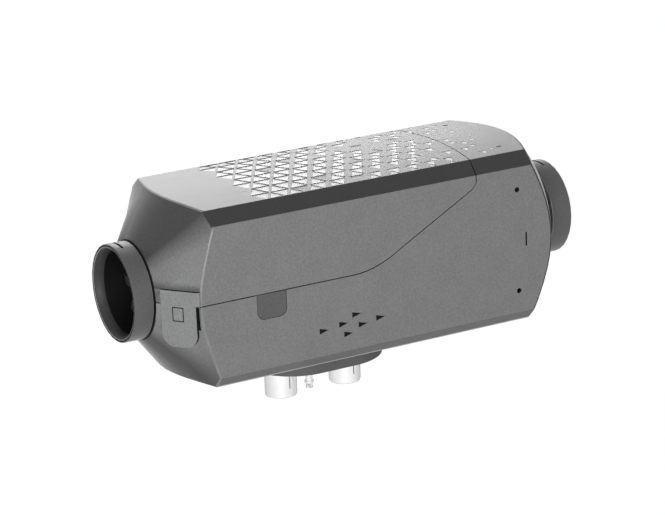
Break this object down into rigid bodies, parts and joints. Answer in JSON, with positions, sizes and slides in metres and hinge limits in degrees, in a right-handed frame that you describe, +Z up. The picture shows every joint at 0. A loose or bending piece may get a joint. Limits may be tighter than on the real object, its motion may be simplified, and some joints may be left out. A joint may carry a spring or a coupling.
{
  "type": "diesel air heater",
  "caption": "Diesel-fired air heater: moulded casing with round air collars at both ends, lift-off cover, fan and burner inside, and a sealed mounting flange with pipe stubs below.",
  "frame": {"origin": "centre of the mounting flange's seating face, under the heater between the two pipe stubs", "axes": "+X along the heater from air intake to warm-air outlet, +Z up, away from the surface the flange is bolted to"},
  "size_m": [0.31, 0.1094, 0.1444],
  "materials": {
    "casing_plastic": "fine-grained moulded",
    "collar_plastic": "fine-grained moulded",
    "dark_plastic": "moulded",
    "gasket_rubber": "matte",
    "bright_aluminium": "bright turned",
    "cast_aluminium": "die cast",
    "plain_steel": "plated",
    "burner_steel": "heat-tinted",
    "burner_fleece": "metal fleece",
    "lamination_steel": "stacked sheet"
  },
  "bodies": {
    "casing": {"lower_cover": "casing_plastic", "intake_collar": "collar_plastic", "outlet_collar": "collar_plastic", "cable_grommet": "collar_plastic", "flange_gasket": "gasket_rubber", "intake_stub": "bright_aluminium", "exhaust_stub": "bright_aluminium", "fuel_pipe": "bright_aluminium", "heat_exchanger": "cast_aluminium", "combustion_chamber": "burner_steel", "flame_tube": "burner_steel", "evaporator_pad": "burner_fleece", "burner_gasket": "gasket_rubber", "glow_plug": "plain_steel", "glow_plug_seal": "gasket_rubber", "blower_housing": "cast_aluminium", "blower_cover": "cast_aluminium", "motor_can": "plain_steel", "motor_stator": "lamination_steel", "front_bearing": "plain_steel", "rear_bearing": "plain_steel", "control_case": "dark_plastic", "control_lid": "dark_plastic", "overheat_sensor": "dark_plastic", "sensor_clip": "plain_steel", "blower_screw_1": "plain_steel", "blower_screw_2": "plain_steel", "blower_screw_3": "plain_steel", "blower_screw_4": "plain_steel"},
    "rotor": {"motor_shaft": "plain_steel", "motor_armature": "lamination_steel", "air_fan": "dark_plastic", "fan_nut": "plain_steel", "combustion_impeller": "cast_aluminium"},
    "cover": {"upper_cover": "casing_plastic"}
  },
  "joints": [
    {"name": "rotor_spin", "type": "hinge", "parent": "casing", "child": "rotor", "pos_m": [-0.07, 0, 0.062], "axis": [1, 0, 0], "continuous": true},
    {"name": "cover_lift", "type": "slide", "parent": "casing", "child": "cover", "axis": [0, 0, 1], "range_m": [0, 0.1]}
  ]
}
